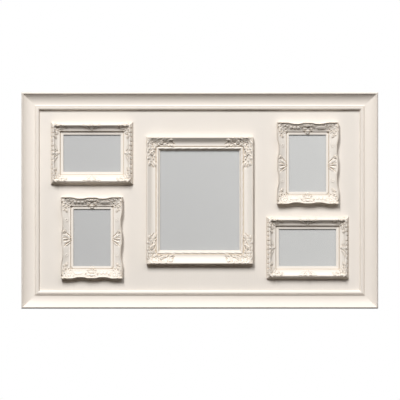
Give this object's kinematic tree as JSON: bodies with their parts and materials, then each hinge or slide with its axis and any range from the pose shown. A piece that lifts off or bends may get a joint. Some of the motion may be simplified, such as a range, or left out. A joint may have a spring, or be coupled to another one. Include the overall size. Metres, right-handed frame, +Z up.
{
  "type": "collage photo frame",
  "caption": "Wall-hung collage frame: a scooped mitred outer moulding round a flat panel that carries small ornate frames for standard photographs, loaded from behind.",
  "frame": {"origin": "centre of the frame in the plane of the wall, which the backs of the four rails lie in", "axes": "+X along the width, to the right as seen from the front; +Y into the wall; +Z up; the viewer is at -Y"},
  "size_m": [0.89, 0.0407, 0.54],
  "materials": {
    "painted_wood": "satin cream paint over primed wood",
    "painted_resin": "cast resin, cream paint with a darker wash in the hollows",
    "clear_glass": "clear float glass, polished edges",
    "grey_insert": "plain grey card",
    "hardboard": "brown hardboard, smooth face",
    "zinc_plated_steel": "zinc plated"
  },
  "bodies": {
    "frame": {"bottom_rail": "painted_wood", "centre_backing_board": "hardboard", "centre_frame": "painted_resin", "centre_glass": "clear_glass", "centre_photo_insert": "grey_insert", "display_panel": "painted_wood", "frame_screws": "zinc_plated_steel", "hanger_screws": "zinc_plated_steel", "hanger_strap_left": "zinc_plated_steel", "hanger_strap_right": "zinc_plated_steel", "landscape_bottom_right_backing_board": "hardboard", "landscape_bottom_right_glass": "clear_glass", "landscape_bottom_right_photo_insert": "grey_insert", "landscape_frame_bottom_right": "painted_resin", "landscape_frame_top_left": "painted_resin", "landscape_top_left_backing_board": "hardboard", "landscape_top_left_glass": "clear_glass", "landscape_top_left_photo_insert": "grey_insert", "left_rail": "painted_wood", "mitre_v_nails": "zinc_plated_steel", "panel_points": "zinc_plated_steel", "portrait_bottom_left_backing_board": "hardboard", "portrait_bottom_left_glass": "clear_glass", "portrait_bottom_left_photo_insert": "grey_insert", "portrait_frame_bottom_left": "painted_resin", "portrait_frame_top_right": "painted_resin", "portrait_top_right_backing_board": "hardboard", "portrait_top_right_glass": "clear_glass", "portrait_top_right_photo_insert": "grey_insert", "right_rail": "painted_wood", "top_rail": "painted_wood", "turn_button_screws": "zinc_plated_steel"},
    "landscape_top_left_turn_button_top": {"landscape_top_left_turn_button_top": "zinc_plated_steel"},
    "landscape_top_left_turn_button_bottom": {"landscape_top_left_turn_button_bottom": "zinc_plated_steel"},
    "landscape_bottom_right_turn_button_top": {"landscape_bottom_right_turn_button_top": "zinc_plated_steel"},
    "landscape_bottom_right_turn_button_bottom": {"landscape_bottom_right_turn_button_bottom": "zinc_plated_steel"},
    "portrait_bottom_left_turn_button_left": {"portrait_bottom_left_turn_button_left": "zinc_plated_steel"},
    "portrait_bottom_left_turn_button_right": {"portrait_bottom_left_turn_button_right": "zinc_plated_steel"},
    "portrait_top_right_turn_button_left": {"portrait_top_right_turn_button_left": "zinc_plated_steel"},
    "portrait_top_right_turn_button_right": {"portrait_top_right_turn_button_right": "zinc_plated_steel"},
    "centre_turn_button_top": {"centre_turn_button_top": "zinc_plated_steel"},
    "centre_turn_button_bottom": {"centre_turn_button_bottom": "zinc_plated_steel"},
    "centre_turn_button_left": {"centre_turn_button_left": "zinc_plated_steel"},
    "centre_turn_button_right": {"centre_turn_button_right": "zinc_plated_steel"},
    "hanger_ring_left": {"hanger_ring_left": "zinc_plated_steel"},
    "hanger_ring_right": {"hanger_ring_right": "zinc_plated_steel"}
  },
  "joints": [
    {"name": "landscape_top_left_turn_button_top_swing", "type": "hinge", "parent": "frame", "child": "landscape_top_left_turn_button_top", "pos_m": [-0.2695, -0.0114, 0.1785], "axis": [0, 1, 0], "continuous": true},
    {"name": "landscape_top_left_turn_button_bottom_swing", "type": "hinge", "parent": "frame", "child": "landscape_top_left_turn_button_bottom", "pos_m": [-0.2695, -0.0114, 0.0575], "axis": [0, 1, 0], "continuous": true},
    {"name": "landscape_bottom_right_turn_button_top_swing", "type": "hinge", "parent": "frame", "child": "landscape_bottom_right_turn_button_top", "pos_m": [0.2695, -0.0114, -0.0575], "axis": [0, 1, 0], "continuous": true},
    {"name": "landscape_bottom_right_turn_button_bottom_swing", "type": "hinge", "parent": "frame", "child": "landscape_bottom_right_turn_button_bottom", "pos_m": [0.2695, -0.0114, -0.1785], "axis": [0, 1, 0], "continuous": true},
    {"name": "portrait_bottom_left_turn_button_left_swing", "type": "hinge", "parent": "frame", "child": "portrait_bottom_left_turn_button_left", "pos_m": [-0.33, -0.0114, -0.093], "axis": [0, 1, 0], "continuous": true},
    {"name": "portrait_bottom_left_turn_button_right_swing", "type": "hinge", "parent": "frame", "child": "portrait_bottom_left_turn_button_right", "pos_m": [-0.209, -0.0114, -0.093], "axis": [0, 1, 0], "continuous": true},
    {"name": "portrait_top_right_turn_button_left_swing", "type": "hinge", "parent": "frame", "child": "portrait_top_right_turn_button_left", "pos_m": [0.209, -0.0114, 0.093], "axis": [0, 1, 0], "continuous": true},
    {"name": "portrait_top_right_turn_button_right_swing", "type": "hinge", "parent": "frame", "child": "portrait_top_right_turn_button_right", "pos_m": [0.33, -0.0114, 0.093], "axis": [0, 1, 0], "continuous": true},
    {"name": "centre_turn_button_top_swing", "type": "hinge", "parent": "frame", "child": "centre_turn_button_top", "pos_m": [0, -0.0114, 0.1365], "axis": [0, 1, 0], "continuous": true},
    {"name": "centre_turn_button_bottom_swing", "type": "hinge", "parent": "frame", "child": "centre_turn_button_bottom", "pos_m": [0, -0.0114, -0.1365], "axis": [0, 1, 0], "continuous": true},
    {"name": "centre_turn_button_left_swing", "type": "hinge", "parent": "frame", "child": "centre_turn_button_left", "pos_m": [-0.111, -0.0114, 0], "axis": [0, 1, 0], "continuous": true},
    {"name": "centre_turn_button_right_swing", "type": "hinge", "parent": "frame", "child": "centre_turn_button_right", "pos_m": [0.111, -0.0114, 0], "axis": [0, 1, 0], "continuous": true},
    {"name": "hanger_ring_left_swing", "type": "hinge", "parent": "frame", "child": "hanger_ring_left", "pos_m": [-0.427, 0.00217, 0.15], "axis": [1, 0, 0], "range_deg": [0, 177]},
    {"name": "hanger_ring_right_swing", "type": "hinge", "parent": "frame", "child": "hanger_ring_right", "pos_m": [0.427, 0.00217, 0.15], "axis": [1, 0, 0], "range_deg": [0, 177]}
  ]
}
